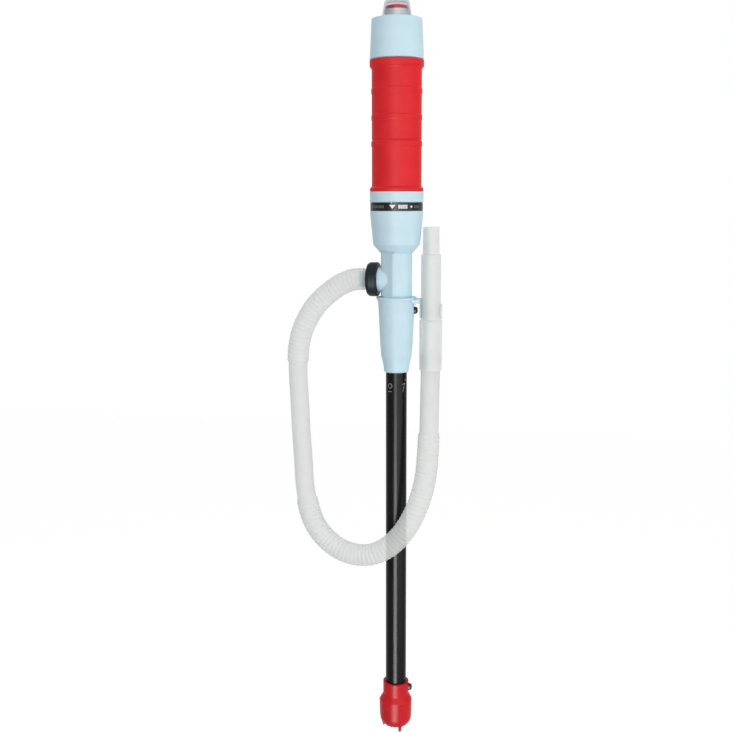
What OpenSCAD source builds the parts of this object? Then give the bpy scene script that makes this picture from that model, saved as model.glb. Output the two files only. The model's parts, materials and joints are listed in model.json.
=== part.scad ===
// Battery transfer pump: a twist-off battery handle on a motor housing, a suction tube with a
// centrifugal impeller in its foot, and a delivery hose that clips beside the tube.
// Millimetres. Z is the pump's axis and points up from the suction tube to the button. The origin
// is on that axis at the lower end of the tube socket, where a container's mouth would be.
// The outlet points along -X, the hose clip along +X, and the front of the pump is -Y.

/* [Batteries] */
// Diameter of one D cell
cell_d = 34.2; // [33:0.1:34.6]
// Height of one D cell with its nub
cell_h = 61.5; // [58:0.5:62]

/* [Handle] */
// Play between a cell and the barrel, all round
cell_play = 0.4; // [0.2:0.05:0.8]
// Wall of the battery barrel
barrel_wall = 1.4; // [1.2:0.1:2]
// Wall of the grip sleeve between its ridges
sleeve_wall = 1.05; // [0.8:0.05:2]
// How far the flanges at the sleeve's ends stand out
flange_step = 1.65; // [1:0.05:3]
// How far the finger ridges stand out
ridge_step = 0.45; // [0.3:0.05:1.2]
// Distance between two finger ridges
ridge_pitch = 20.6; // [16:0.2:24]
// Height of the collar above the twist joint
collar_h = 8.7; // [7:0.1:12]
// Height of the top cap up to its shoulder
cap_h = 31.7; // [30:0.1:40]
// Diameter of the top cap's shoulder
cap_shoulder_d = 40.2; // [38:0.2:41]
// Wall of the top cap
cap_wall = 1.8; // [1.5:0.1:2.5]
// How far the handle turns to unlock
twist_angle = 40; // [25:1:45]

/* [Button] */
// Diameter of the push button
button_d = 17.4; // [14:0.2:18]
// Travel of the push button
button_travel = 1.5; // [0.5:0.1:2]
// Wall of the clear boot over the button
boot_wall = 1.1; // [0.8:0.1:1.6]

/* [Motor housing] */
// Diameter of the motor can
motor_d = 24.4; // [22:0.2:26]
// Height of the motor can
motor_h = 22.8; // [18:0.2:26]
// Depth of the ribs that cradle the motor
cradle_rib = 4.7; // [3:0.1:6]
// Wall of the housing cup
cup_wall = 2; // [1.6:0.1:3]
// Height of the label band
band_h = 6.8; // [4:0.1:8]
// Bore of the pump chamber in the neck
chamber_d = 18.8; // [16:0.2:20]
// Wall of the neck
neck_wall = 3.35; // [3:0.05:4.5]
// Height of the neck
neck_h = 35.6; // [34:0.1:44]
// Height of the sloped shoulder over the neck
shoulder_h = 7.2; // [5:0.1:10]

/* [Outlet] */
// Height of the outlet over the seam at the neck's foot
outlet_h = 14.3; // [14.2:0.1:16]
// Diameter of the boss that carries the outlet
boss_d = 20.6; // [18:0.2:22]
// Diameter of the outlet stub
stub_d = 16; // [14:0.2:18]
// Diameter of the hose nut
nut_d = 28; // [26:0.2:28]
// Width of the hose nut
nut_w = 8.8; // [7:0.1:12]

/* [Tube socket and hose clip] */
// Height of the tube socket
socket_h = 62; // [58:0.5:80]
// Depth of the suction tube in the socket
tube_seat = 40; // [25:0.5:40]
// Distance of the clipped hose from the pump's axis
clip_reach = 28.6; // [28:0.1:34]
// Wall of the hose clip
clip_wall = 1.1; // [1:0.1:2.4]
// Height of the hose clip
clip_h = 16.5; // [10:0.5:22]
// Angle that the clip's mouth opens
clip_mouth = 150; // [80:5:160]

/* [Suction tube] */
// Outer diameter of the suction tube
tube_d = 17.5; // [16:0.1:19]
// Wall of the suction tube
tube_wall = 1.5; // [1:0.1:2]
// Depth of the suction tube's foot below the socket
tube_reach = 290; // [250:1:400]
// Diameter of the drive shaft
shaft_d = 3; // [2.5:0.1:3.5]

/* [Strainer] */
// Height of the strainer's collar round the tube
collar_depth = 17; // [14:0.1:24]
// Diameter of the impeller
impeller_d = 20.4; // [18:0.2:21]
// Number of vanes on the impeller
vane_count = 6; // [4:1:8]
// Gap between the impeller and its chamber wall
impeller_gap = 1.6; // [0.8:0.1:2]
// Wall of the impeller chamber
strainer_wall = 1.6; // [1.4:0.1:2.4]
// Height of the strainer's domed basket
dome_h = 8.4; // [7:0.1:12]
// Number of intake slots in the basket
slot_count = 16; // [8:4:20]
// Width of an intake slot
slot_w = 1.7; // [1:0.1:2]
// Width of the ribs between the slots, at their narrow end
slot_rib = 0.9; // [0.8:0.1:1.4]
// Number of legs round the basket
leg_count = 3; // [3:1:5]
// Drop of the feet below the basket
foot_drop = 1.6; // [1:0.1:4]

/* [Hose] */
// Outer diameter of the plain hose
hose_d = 15.8; // [14:0.1:16]
// Wall of the plain hose
hose_wall = 1.6; // [1:0.1:2]
// Depth of the corrugations outside the plain hose
bellows_step = 1.3; // [0.8:0.1:2]
// Length of the discharge nozzle
nozzle_h = 116.6; // [90:0.2:130]
// Length of the nozzle's narrow tip
tip_h = 22; // [10:0.5:30]
// Bore of the nozzle's tip
tip_bore = 10; // [8:0.1:11]

/* [Hidden] */
$fn = 96;

// Fits
seat = 0.05;        // two pieces that are fixed together
running = 0.06;     // a shaft in its bush
rest_gap = 0.1;     // two faces that meet across a joint
eps = 0.01;

// Colours
PALE_BLUE = [0.78, 0.87, 0.92];
RED = [0.84, 0.16, 0.18];
BLACK = [0.11, 0.11, 0.12];
CLEAR = [0.85, 0.88, 0.88];
STEEL = [0.66, 0.67, 0.69];
BRASS = [0.78, 0.63, 0.32];
NYLON = [0.90, 0.89, 0.84];
RUBBER = [0.16, 0.16, 0.17];

// Tube socket and the seam above it
seam_z = socket_h;
tube_r = tube_d / 2;
tube_bore_r = tube_r - tube_wall;
socket_bore_r = tube_r + seat;
socket_lip = 0.75;
socket_wall = 3.4;
spigot_h = 17.8;
chamber_r = chamber_d / 2;
spigot_r = chamber_r + 2.05;
socket_top_r = spigot_r + seat + socket_wall;
socket_foot_r = socket_bore_r + 4.5;
flange_r = socket_top_r + 1.6;
flange_t = 1;
arm_t = 3.6;
arm_drop = 1.3;
screw_head_r = 2.9;
screw_head_h = 2.8;
screw_r = 1.45;
socket_screw_z = seam_z - 10.7;

// Neck, outlet and the web that carries the motor
neck_r = chamber_r + neck_wall;
neck_top_z = seam_z + neck_h;
neck_flat = neck_r * cos(25);
neck_flat_rise = 2;
neck_step = 0.6;
outlet_z = seam_z + outlet_h;
stub_r = stub_d / 2;
stub_end = neck_r + 8;
nipple_end = stub_end + 10;
nipple_r = hose_d / 2 - hose_wall - seat;
nipple_wall = 1.1;
nut_start = neck_r + 2.4;
boss_end = nut_start - 0.3;
nut_r = nut_d / 2;
web_floor_z = neck_top_z + 3.4;
seal_h = 5.5;
seal_r = 6;
seal_top_z = web_floor_z - 3.4;
web_foot_z = seal_top_z - seal_h;
seal_plate_t = 1.5;

// Motor and the cup round it
motor_r = motor_d / 2;
motor_play = 0.2;
motor_foot_z = web_floor_z + rest_gap;
motor_top_z = motor_foot_z + motor_h;
end_bell_h = 2.2;
boss_r = 3;
boss_h = 2.4;
shoulder_top_z = neck_top_z + shoulder_h;
cup_foot_r = motor_r + motor_play + cradle_rib + cup_wall;
plate_z = motor_top_z + end_bell_h + 1.1;
plate_t = 1.2;

// Twist joint between the barrel and the cup
shaft_r = shaft_d / 2;
cell_r = cell_d / 2;
barrel_bore_r = cell_r + cell_play;
barrel_r = barrel_bore_r + barrel_wall;
cup_bore_r = barrel_r + rest_gap;
barrel_foot_z = plate_z + plate_t + 0.4;
spigot_depth = 9.8;
rim_z = barrel_foot_z + spigot_depth;
band_foot_z = rim_z - band_h;
band_seat_r = cup_bore_r + 2;
band_r = band_seat_r + 0.3;
cup_top_r = band_r + 0.35;
lug_step = 0.8;
lug_h = 1.6;
lug_arc = 14;
lug_z = barrel_foot_z + 1.2;
lug_rest_angle = 15;
lug_count = 3;
groove_r = barrel_r + lug_step + 0.15;
groove_play = 0.2;
groove_arc_play = 1.5;
contact_angle = 90;
contact_w = 5.4;

// Barrel, sleeve and cap
collar_z = rim_z + rest_gap;
collar_top_z = rim_z + collar_h;
collar_r = barrel_r + 2.8;
cells_z = barrel_foot_z + 11.2;
barrel_top_z = cells_z + 2 * cell_h + 2;
cap_overlap = 15.3;
sleeve_z = collar_top_z + seat;
sleeve_top_z = barrel_top_z - cap_overlap;
sleeve_bore_r = barrel_r + seat;
sleeve_r = sleeve_bore_r + sleeve_wall;
sleeve_flange_r = sleeve_r + flange_step;
cap_z = sleeve_top_z + seat;
cap_foot_r = sleeve_flange_r - 0.2;
cap_shoulder_z = cap_z + cap_h - 0.4;
cap_shoulder_r = cap_shoulder_d / 2;
cap_web_z = cap_shoulder_z - 1;
cap_neck_top_z = cap_shoulder_z + 0.8;
strip_depth = 0.5;
strip_arc = 2 * asin(contact_w / 2 / barrel_r);
strip_t = 0.38;

// Switch and button
button_r = button_d / 2;
guard_bore_r = button_r + 0.25;
switch_r = guard_bore_r + 0.7;
switch_flange_r = switch_r + 3.2;
guard_h = 6.2;
top_contact_t = 0.4;
switch_z = cells_z + 2 * cell_h + rest_gap + top_contact_t;
well_r = 6.2;
well_z = cap_web_z - 7;
button_z = cap_neck_top_z + 5.1;
button_h = 4.5;
stem_r = 3;
stem_foot_z = well_z - 5;
boot_foot_r = button_r + 3.2;
boot_top_r = button_r + 1.4;
boot_crown_z = button_z + button_h + 0.15;
boot_top_z = boot_crown_z + 4;

// Strainer
strainer_seat_z = -tube_reach;
collar_rim_z = strainer_seat_z + collar_depth;
strainer_collar_r = socket_bore_r + 2.2;
plate_foot_z = strainer_seat_z - 2.7;
port_bridge = 24;
impeller_r = impeller_d / 2;
impeller_top_z = plate_foot_z - 0.8;
impeller_h = 10.4;
impeller_foot_z = impeller_top_z - impeller_h;
vane_t = 1.1;
strainer_bore_r = impeller_r + impeller_gap;
strainer_r = strainer_bore_r + strainer_wall;
basket_z = impeller_foot_z - 1.7;
strainer_screw_z = strainer_seat_z + 12.2;
screw_seat_r = strainer_collar_r + 0.3;
foot_angle = -60;
leg_t = 2;
leg_step = 0.5;
bush_r = 2.9;
bush_foot_z = plate_foot_z - 0.3;
motor_shaft_foot_z = outlet_z + 7.2;
coupling_h = 13.8;
coupling_r = 3.2;
guide_h = 6;
guide_zs = [28, -tube_reach / 3, -tube_reach * 2 / 3];

// Hose. The route starts at the cuff in the hose nut, bends down beside the pump, passes in front
// of the suction tube and ends in the discharge nozzle.
hose_r = hose_d / 2;
cuff_end = stub_end + 10.4;
nozzle_bore_r = hose_r + 0.15;
nozzle_seat_h = 12;
nozzle_r = nozzle_bore_r + 1.1;
nozzle_waist_r = nozzle_r - 1.05;
tip_r = tip_bore / 2 + 1.6;
nozzle_z = 2.4;
clip_bore_r = nozzle_waist_r + 0.15;
clip_r = clip_bore_r + clip_wall;
clip_top_z = seam_z - 0.5;
clip_foot_z = clip_top_z - clip_h;
nozzle_step_z = clip_foot_z - 1;
HOSE_SIDES = 12;
hose_route = [
    [-38, 0, 75.3], [-46, 0, 72], [-54, 0, 67], [-62, 0, 60.5], [-69.5, 0, 52.5], [-76, 0, 42.5],
    [-81, 0, 31.5], [-84, 0, 19], [-85, 0, 6], [-85, 0, -7], [-84, -1, -21], [-83, -2, -36],
    [-82, -3.5, -51], [-80.5, -5.5, -66], [-79, -7.5, -81], [-77.5, -10, -96], [-75, -12, -110],
    [-71, -14, -123.5], [-64.5, -16, -135], [-55, -17.5, -144.5], [-43.5, -19, -151],
    [-31, -20, -154], [-18.5, -21, -153], [-7, -21.5, -148], [3.5, -21.5, -139.5],
    [12.5, -21, -128], [19.5, -19, -114.5], [24.5, -15.5, -99.5], [27.3, -11.5, -84],
    [28, -7, -68], [28.2, -3.3, -51], [28.2, -1, -34], [28.3, 0, -17]
];
bellows_spans = [[1, 8], [16, 30]];

// ---------- helpers ----------

module revolve(points, angle = 360) {
    rotate_extrude(angle = angle) polygon(points);
}

module tube(r, bore, z, top) {
    difference() {
        translate([0, 0, z]) cylinder(r = r, h = top - z);
        translate([0, 0, z - 1]) cylinder(r = bore, h = top - z + 2);
    }
}

// A ring sector of the given arc, centred on an angle
module sector(r, bore, z, top, arc, angle) {
    rotate([0, 0, angle - arc / 2])
        rotate_extrude(angle = arc)
            translate([bore, z]) square([r - bore, top - z]);
}

module x_cylinder(r, x, end, z) {
    translate([x, 0, z]) rotate([0, 90, 0]) cylinder(r = r, h = end - x);
}

// A torus on the pump's axis
module o_ring(r, section_r, z) {
    rotate_extrude() translate([r, z]) circle(r = section_r, $fn = 24);
}

function unit(v) = v / norm(v);
function ring_points(centre, tangent, r, sides) =
    let (across = unit(cross([0, 1, 0], tangent)), over = cross(tangent, across))
    [for (i = [0:sides - 1]) centre + r * (cos(i * 360 / sides) * across + sin(i * 360 / sides) * over)];

// A solid swept through rings of points that all have the same number of sides
module skin(rings) {
    sides = len(rings[0]);
    last = (len(rings) - 1) * sides;
    polyhedron(
        points = [for (ring = rings) for (p = ring) p],
        faces = concat(
            [[for (i = [0:sides - 1]) i]],
            [for (k = [0:len(rings) - 2]) for (i = [0:sides - 1])
                let (a = k * sides + i, b = k * sides + (i + 1) % sides)
                [a, a + sides, b + sides, b]],
            [[for (i = [0:sides - 1]) last + sides - 1 - i]]
        )
    );
}

// The wall between an outer and an inner skin with as many rings each
module pipe(outer, inner) {
    sides = len(outer[0]);
    inside = len(outer) * sides;
    function quad(k, i, start) =
        let (a = start + k * sides + i, b = start + k * sides + (i + 1) % sides)
        [a, a + sides, b + sides, b];
    function rim(i, start) =
        let (a = start + i, b = start + (i + 1) % sides)
        [a, b, b + inside, a + inside];
    function turned(face) = [face[3], face[2], face[1], face[0]];
    polyhedron(
        points = [for (ring = concat(outer, inner)) for (p = ring) p],
        faces = concat(
            [for (k = [0:len(outer) - 2]) for (i = [0:sides - 1]) quad(k, i, 0)],
            [for (k = [0:len(outer) - 2]) for (i = [0:sides - 1]) turned(quad(k, i, inside))],
            [for (i = [0:sides - 1]) rim(i, 0)],
            [for (i = [0:sides - 1]) turned(rim(i, inside - sides))]
        )
    );
}

// A coil spring on the pump's axis
module coil(foot_r, top_r, wire_r, z, top, turns, steps = 14, sides = 6) {
    count = round(turns * steps);
    foot = z + wire_r;
    rise = top - z - 2 * wire_r;
    function spot(k) =
        let (t = k / count, r = foot_r + (top_r - foot_r) * t, angle = 360 * turns * t)
        [r * cos(angle), r * sin(angle), foot + rise * t];
    function wire_ring(k) =
        let (outward = unit([spot(k)[0], spot(k)[1], 0]))
        [for (i = [0:sides - 1])
            spot(k) + wire_r * (cos(i * 360 / sides) * outward + [0, 0, sin(i * 360 / sides)])];
    skin([for (k = [0:count]) wire_ring(k)]);
}

// A cross-recessed screw along +X: its head's seat is at x = seat_x
module pan_screw(seat_x, z, length) {
    difference() {
        union() {
            translate([seat_x, 0, z]) rotate([0, 90, 0]) rotate_extrude() polygon([
                [0, 0], [screw_head_r, 0], [screw_head_r, screw_head_h * 0.55],
                [screw_head_r * 0.72, screw_head_h * 0.9], [screw_head_r * 0.35, screw_head_h],
                [0, screw_head_h]
            ]);
            x_cylinder(screw_r, seat_x - length, seat_x + eps, z);
        }
        for (turn = [0, 90])
            translate([seat_x + screw_head_h, 0, z]) rotate([turn, 0, 0])
                cube([2.4, 0.7, 3], center = true);
    }
}

// ---------- tube socket and suction tube ----------

module socket_outline() {
    revolve([
        [0, 0], [socket_bore_r + socket_lip, 0], [socket_bore_r + 1.5, 0.7],
        [socket_foot_r - 2.8, 3], [socket_foot_r - 2.5, 5.6], [socket_foot_r - 1.7, 9.4],
        [socket_foot_r - 0.6, 13.9],
        [socket_foot_r, 22.2], [socket_top_r, seam_z - 6.6], [socket_top_r + 0.4, seam_z - 4],
        [flange_r - 0.6, seam_z - 2], [flange_r, seam_z - flange_t], [flange_r, seam_z], [0, seam_z]
    ]);
}

module clip_arm() {
    neck_side = socket_top_r - 1;
    clip_side = clip_reach - clip_bore_r - clip_wall / 2;
    foot_z = seam_z - arm_drop - arm_t;
    translate([0, 0, foot_z]) linear_extrude(arm_t)
        polygon([[neck_side, -8], [clip_side, -5.5], [clip_side, 5.5], [neck_side, 8]]);
    rotate([90, 0, 0]) translate([0, 0, -1.25]) linear_extrude(2.5)
        polygon([
            [neck_side, foot_z - 2.6], [socket_top_r + 0.7, foot_z - 1.2],
            [(socket_top_r + clip_side) / 2, foot_z + eps], [neck_side, foot_z + eps]
        ]);
}

// The clip's open side faces the front, and its top edge slopes down away from the pump
module hose_clip() {
    outer_drop = 5.5;
    half = clip_mouth / 2;
    translate([clip_reach, 0, 0]) difference() {
        tube(clip_r, clip_bore_r, clip_foot_z, clip_top_z);
        translate([0, 0, clip_foot_z - 1]) rotate([0, 0, -90]) linear_extrude(clip_h + 2)
            polygon([[0, 0], for (turn = [-half:half / 2:half]) 2 * clip_r * [cos(turn), sin(turn)]]);
        translate([-clip_r, 0, clip_top_z]) rotate([0, asin(outer_drop / (2 * clip_r)), 0])
            translate([-clip_r, -2 * clip_r, 0]) cube([4 * clip_r, 4 * clip_r, 2 * outer_drop]);
    }
}

module tube_socket() {
    color(PALE_BLUE) difference() {
        union() {
            socket_outline();
            difference() {
                clip_arm();
                translate([clip_reach, 0, 0]) cylinder(r = clip_bore_r + clip_wall / 2, h = 2 * seam_z);
            }
            hose_clip();
            x_cylinder(screw_head_r + 0.5, socket_top_r - 2.5, socket_top_r - 0.1, socket_screw_z);
        }
        translate([0, 0, -1]) cylinder(r = socket_bore_r, h = tube_seat + 1);
        cylinder(r = tube_bore_r, h = seam_z);
        translate([0, 0, seam_z - spigot_h - rest_gap]) cylinder(r = spigot_r + seat, h = spigot_h + 1);
        x_cylinder(screw_r + seat, spigot_r - 2, socket_top_r + 1, socket_screw_z);
    }
}

module socket_screw() {
    color(BLACK) pan_screw(socket_top_r, socket_screw_z, socket_top_r - spigot_r + 1.2);
}

module socket_o_ring() {
    color(RUBBER) o_ring(spigot_r - 0.45, 0.46, seam_z - 4.4);
}

module suction_tube() {
    color(BLACK) tube(tube_r, tube_bore_r, strainer_seat_z + seat, tube_seat - seat);
}

// ---------- strainer and impeller ----------

module strainer_body() {
    port_r = tube_bore_r - 0.2;
    port_bore_r = bush_r + 1;
    color(RED) difference() {
        union() {
            revolve([
                [0, collar_rim_z], [strainer_collar_r, collar_rim_z],
                [strainer_collar_r, strainer_seat_z + 5.5], [strainer_r, strainer_seat_z + 1.4],
                [strainer_r + 0.4, strainer_seat_z + 0.4], [strainer_r, basket_z], [0, basket_z]
            ]);
            x_cylinder(screw_head_r + 0.4, strainer_collar_r - 2, screw_seat_r, strainer_screw_z);
        }
        translate([0, 0, strainer_seat_z]) cylinder(r = socket_bore_r, h = collar_depth + 1);
        translate([0, 0, basket_z - 1]) cylinder(r = strainer_bore_r, h = plate_foot_z - basket_z + 1);
        translate([0, 0, basket_z]) cylinder(r = bush_r + seat, h = strainer_seat_z - basket_z + 1);
        for (k = [0:2])
            sector(port_r, port_bore_r, plate_foot_z - 1, strainer_seat_z + 1, 120 - port_bridge, 120 * k);
        x_cylinder(screw_r + seat, 0, strainer_collar_r + 2, strainer_screw_z);
    }
}

module strainer_screw() {
    color(BLACK) pan_screw(screw_seat_r, strainer_screw_z, screw_seat_r - socket_bore_r - 0.2);
}

module lower_bush() {
    color(BRASS) tube(bush_r, shaft_r + running, bush_foot_z, strainer_seat_z - 0.2);
}

// One leg runs down the outside of the strainer and ends in a foot below the basket
module basket_leg() {
    out = strainer_r + seat;
    foot_z = basket_z - dome_h - foot_drop;
    rotate([90, 0, 0]) translate([0, 0, -leg_t / 2]) linear_extrude(leg_t) polygon([
        [out + 0.4, strainer_seat_z + 0.2], [out + 0.4 + leg_step, strainer_seat_z - 0.6],
        [out + leg_step, basket_z + 1], [out, basket_z - dome_h * 0.35],
        [out - 1.2, basket_z - dome_h * 0.75], [out - 2.4, foot_z], [out - 3.3, foot_z],
        [out - 3.8, basket_z - dome_h * 0.8], [out - 1.2, basket_z - 0.3], [out, basket_z - 0.3]
    ]);
}

module intake_basket() {
    skin_t = 1.6;
    inner_r = strainer_r - 2.7;
    crown_z = basket_z - dome_h;
    rim_r = strainer_bore_r - seat;
    slot_start_r = slot_count * (slot_w + slot_rib) / (2 * PI);
    color(RED) difference() {
        union() {
            revolve([
                [0, crown_z], [strainer_r * 0.31, crown_z + 0.1], [strainer_r * 0.55, crown_z + 0.5],
                [strainer_r * 0.75, crown_z + dome_h * 0.23], [strainer_r * 0.89, crown_z + dome_h * 0.48],
                [strainer_r * 0.97, crown_z + dome_h * 0.77], [strainer_r, basket_z - seat],
                [rim_r, basket_z - seat], [rim_r, basket_z + 1.4], [inner_r, basket_z + 1.4],
                [inner_r, crown_z + dome_h * 0.6], [strainer_r * 0.68, crown_z + dome_h * 0.23 + skin_t],
                [strainer_r * 0.5, crown_z + 0.5 + skin_t], [0, crown_z + skin_t]
            ]);
            for (k = [0:leg_count - 1]) rotate([0, 0, foot_angle + 360 / leg_count * k]) basket_leg();
        }
        for (k = [0:slot_count - 1])
            rotate([0, 0, foot_angle + (k + 0.5) * 360 / slot_count])
                translate([slot_start_r, -slot_w / 2, crown_z - 1])
                    cube([strainer_r * 0.85 - slot_start_r, slot_w, dome_h * 0.45 + 1]);
    }
}

// A backward-curved vane is part of a thin ring whose centre lies beside the axis
module vane() {
    bend_r = impeller_r * 0.62;
    intersection() {
        translate([impeller_r * 0.5, -bend_r * 0.72]) difference() {
            circle(r = bend_r);
            circle(r = bend_r - vane_t);
        }
        circle(r = impeller_r);
        translate([0, -bend_r * 0.3]) square([2 * impeller_r, 2 * impeller_r]);
    }
}

module impeller() {
    disc_t = 1;
    color(NYLON) difference() {
        union() {
            translate([0, 0, impeller_top_z - 0.5 - disc_t]) cylinder(r = impeller_r - 0.6, h = disc_t);
            translate([0, 0, impeller_foot_z]) cylinder(r = shaft_r + 1.6, h = impeller_h);
            translate([0, 0, impeller_foot_z]) linear_extrude(impeller_h - 0.5 - disc_t + eps)
                for (k = [0:vane_count - 1]) rotate(k * 360 / vane_count) vane();
        }
        translate([0, 0, impeller_foot_z + 1.4]) cylinder(r = shaft_r + 0.02, h = impeller_h);
    }
}

module drive_shaft() {
    foot = impeller_foot_z + 1.5;
    color(STEEL) translate([0, 0, foot]) cylinder(r = shaft_r, h = motor_shaft_foot_z - 0.4 - foot);
}

module shaft_guides() {
    hub_r = shaft_r + 1.5;
    rim_r = tube_bore_r - seat;
    color(NYLON) for (z = guide_zs) translate([0, 0, z - guide_h / 2]) linear_extrude(guide_h)
        difference() {
            union() {
                difference() {
                    circle(r = rim_r);
                    circle(r = rim_r - 0.8);
                }
                circle(r = hub_r);
                for (k = [0:2]) rotate(120 * k) translate([0, -0.7]) square([rim_r - 0.4, 1.4]);
            }
            circle(r = shaft_r + running);
        }
}

// ---------- motor housing ----------

module housing_outline() {
    revolve([
        [0, seam_z - spigot_h], [spigot_r, seam_z - spigot_h], [spigot_r, seam_z],
        [neck_r - neck_step, seam_z], [neck_r - neck_step, seam_z + 0.5], [neck_r, seam_z + 1.6],
        [neck_r, neck_top_z], [cup_foot_r - 0.5, shoulder_top_z - 0.5], [cup_foot_r, shoulder_top_z + 0.4],
        [cup_top_r, band_foot_z - 0.7], [cup_top_r - 0.3, band_foot_z], [band_seat_r, band_foot_z],
        [band_seat_r, rim_z], [0, rim_z]
    ]);
}

// Two flats on the neck's outlet side, one each side of the stub
module neck_flats() {
    for (side = [-1, 1]) rotate([0, 0, side * 120])
        translate([neck_flat, -neck_r, seam_z]) cube([neck_r, 2 * neck_r, neck_h + neck_flat_rise]);
}

module outlet_stub() {
    x_cylinder(boss_d / 2, -boss_end, 0, outlet_z);
    x_cylinder(stub_r, -stub_end, 0, outlet_z);
    x_cylinder(nipple_r, -nipple_end, 0, outlet_z);
}

module motor_room() {
    pocket_top_z = shoulder_top_z + 1.4;
    pocket_r = motor_r + motor_play;
    difference() {
        revolve([
            [0, web_floor_z], [pocket_r, web_floor_z], [pocket_r, pocket_top_z - 2.5],
            [cup_foot_r - cup_wall, pocket_top_z + 1.4], [cup_bore_r, plate_z - 0.6],
            [cup_bore_r, rim_z + 1], [0, rim_z + 1]
        ]);
        for (k = [0:5]) rotate([0, 0, 60 * k]) translate([pocket_r, -0.8, web_floor_z - 1])
            cube([cup_bore_r, 1.6, plate_z - 0.1 - web_floor_z + 1]);
    }
}

// The groove that the barrel's lugs turn in, and the slots that they enter by
module bayonet_groove() {
    lug_end = lug_rest_angle + twist_angle;
    room = lug_arc + 2 * groove_arc_play;
    bore_r = cup_bore_r - 1;
    for (k = [0:lug_count - 1]) rotate([0, 0, 360 / lug_count * k]) {
        sector(groove_r, bore_r, lug_z - groove_play, lug_z + lug_h + groove_play,
            twist_angle + room + groove_arc_play, (lug_rest_angle + lug_end + groove_arc_play) / 2);
        sector(groove_r + 0.05, bore_r, lug_z + 0.3, rim_z + 1, room, lug_end);
    }
}

module motor_housing() {
    color(PALE_BLUE) difference() {
        union() {
            difference() {
                housing_outline();
                neck_flats();
            }
            outlet_stub();
        }
        translate([0, 0, seam_z - spigot_h - 1])
            cylinder(r = chamber_r, h = web_foot_z - seam_z + spigot_h + 1);
        translate([0, 0, web_foot_z - 1]) cylinder(r = seal_r, h = seal_h + 1);
        translate([0, 0, web_foot_z]) cylinder(r = boss_r + 0.3, h = web_floor_z - web_foot_z + 1);
        x_cylinder(nipple_r - nipple_wall, -nipple_end - 1, 0, outlet_z);
        motor_room();
        bayonet_groove();
        rotate([0, 0, contact_angle]) translate([barrel_r - 1, -contact_w / 2 - 0.4, plate_z - 0.9])
            cube([1.7, contact_w + 0.8, rim_z - plate_z + 2]);
        translate([0, 0, seam_z - 4.4]) tube(spigot_r + 1, spigot_r - 0.95, -0.7, 0.7);
        x_cylinder(screw_r + seat, chamber_r + 0.6, spigot_r + 1, socket_screw_z);
    }
}

module label_band() {
    color(BLACK) tube(band_r, band_seat_r + seat, band_foot_z + 0.1, rim_z - 0.1);
}

module seal_plate() {
    top = web_foot_z - seat;
    color(STEEL) tube(chamber_r - seat, coupling_r + 0.4, top - seal_plate_t, top);
}

module shaft_seal() {
    color(RUBBER) tube(seal_r - seat, shaft_r + running, web_foot_z + 0.1, seal_top_z - 0.1);
}

// ---------- motor ----------

module motor_can() {
    can_wall = 0.8;
    color(STEEL) difference() {
        union() {
            translate([0, 0, motor_foot_z]) cylinder(r = motor_r, h = motor_h);
            translate([0, 0, motor_foot_z - boss_h]) cylinder(r = boss_r, h = boss_h + eps);
        }
        translate([0, 0, motor_foot_z + can_wall]) cylinder(r = motor_r - can_wall, h = motor_h);
        translate([0, 0, motor_foot_z - boss_h - 1]) cylinder(r = shaft_r + running, h = motor_h);
    }
}

module motor_magnets() {
    magnet_r = motor_r - 0.85;
    color(RUBBER) for (side = [0, 180])
        sector(magnet_r, magnet_r - 1.8, motor_foot_z + 2.4, motor_top_z - 4, 130, side);
}

module motor_armature() {
    core_r = motor_r - 3.1;
    core_z = motor_foot_z + 3;
    core_h = motor_h - 8;
    color(STEEL) {
        translate([0, 0, motor_shaft_foot_z])
            cylinder(r = shaft_r, h = motor_top_z + 0.6 - motor_shaft_foot_z);
        difference() {
            translate([0, 0, core_z]) cylinder(r = core_r, h = core_h);
            for (k = [0:4]) rotate([0, 0, 72 * k]) {
                translate([core_r * 0.62, 0, core_z - 1]) cylinder(r = core_r * 0.2, h = core_h + 2);
                translate([core_r * 0.62, -0.7, core_z - 1]) cube([core_r, 1.4, core_h + 2]);
            }
        }
        translate([0, 0, core_z + core_h - eps]) cylinder(r = 4, h = 3.4);
    }
}

module motor_end_bell() {
    color(BLACK) difference() {
        union() {
            translate([0, 0, motor_top_z + seat]) cylinder(r = motor_r - 0.3, h = end_bell_h - 0.6);
            translate([0, 0, motor_top_z + seat]) cylinder(r = 5, h = end_bell_h);
        }
        translate([0, 0, motor_top_z - 1]) cylinder(r = shaft_r + running, h = 1.8);
    }
}

module contact_plate() {
    color(NYLON) difference() {
        translate([0, 0, plate_z]) cylinder(r = cup_bore_r - 0.3, h = plate_t);
        for (side = [-1, 1]) translate([side * 4, 0, plate_z - 1]) cylinder(r = 0.8, h = plate_t + 2);
    }
}

// A brass strip from the motor's terminal up the wall of the cup to the barrel's strip
module motor_contact() {
    in = motor_r - 4;
    face = barrel_r + 0.08;
    back = barrel_r + 0.55;
    color(BRASS) rotate([0, 0, contact_angle]) {
        translate([in, -contact_w / 2, plate_z - 0.6]) cube([back - in, contact_w, 0.4]);
        intersection() {
            tube(back, face, plate_z - 0.6, rim_z - 2);
            translate([0, -contact_w / 2, 0]) cube([2 * back, contact_w, rim_z]);
        }
        translate([in, -contact_w / 2, motor_top_z + end_bell_h + 0.1 - 0.5]) cube([1.2, contact_w, 1]);
    }
}

module battery_spring() {
    color(STEEL) coil(12, 5.5, 0.6, plate_z + plate_t + seat, cells_z - seat, 4.5);
}

module shaft_coupling() {
    foot = motor_shaft_foot_z - coupling_h / 2;
    color(BRASS) tube(coupling_r, shaft_r + 0.02, foot, foot + coupling_h);
}

// ---------- handle ----------

module barrel_lugs() {
    for (k = [0:lug_count - 1])
        sector(barrel_r + lug_step, barrel_r - 0.3, lug_z, lug_z + lug_h, lug_arc,
            lug_rest_angle + 360 / lug_count * k);
}

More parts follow.
